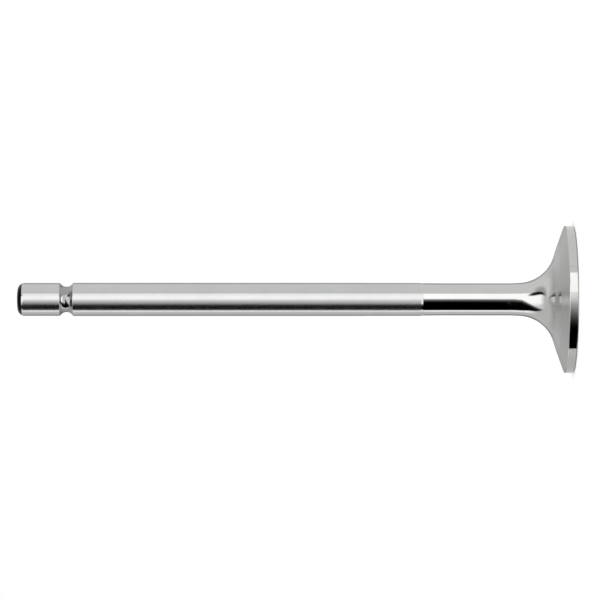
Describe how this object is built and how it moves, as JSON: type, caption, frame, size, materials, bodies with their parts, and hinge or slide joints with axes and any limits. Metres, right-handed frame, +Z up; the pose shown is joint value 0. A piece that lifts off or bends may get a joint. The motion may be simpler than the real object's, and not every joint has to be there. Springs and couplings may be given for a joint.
{
  "type": "engine valve",
  "caption": "Poppet valve: a slender ground stem with a keeper groove near its tip, a slimmer polished neck, and a round flat-faced head with a swept back.",
  "frame": {"origin": "centre of the flat combustion face of the head, which the valve stands on", "axes": "+Z up the stem to the tip; the valve is round about Z, so X and Y are free"},
  "size_m": [0.0264, 0.0264, 0.1],
  "materials": {
    "steel": "satin"
  },
  "bodies": {
    "root": {"valve": "steel"}
  },
  "joints": []
}
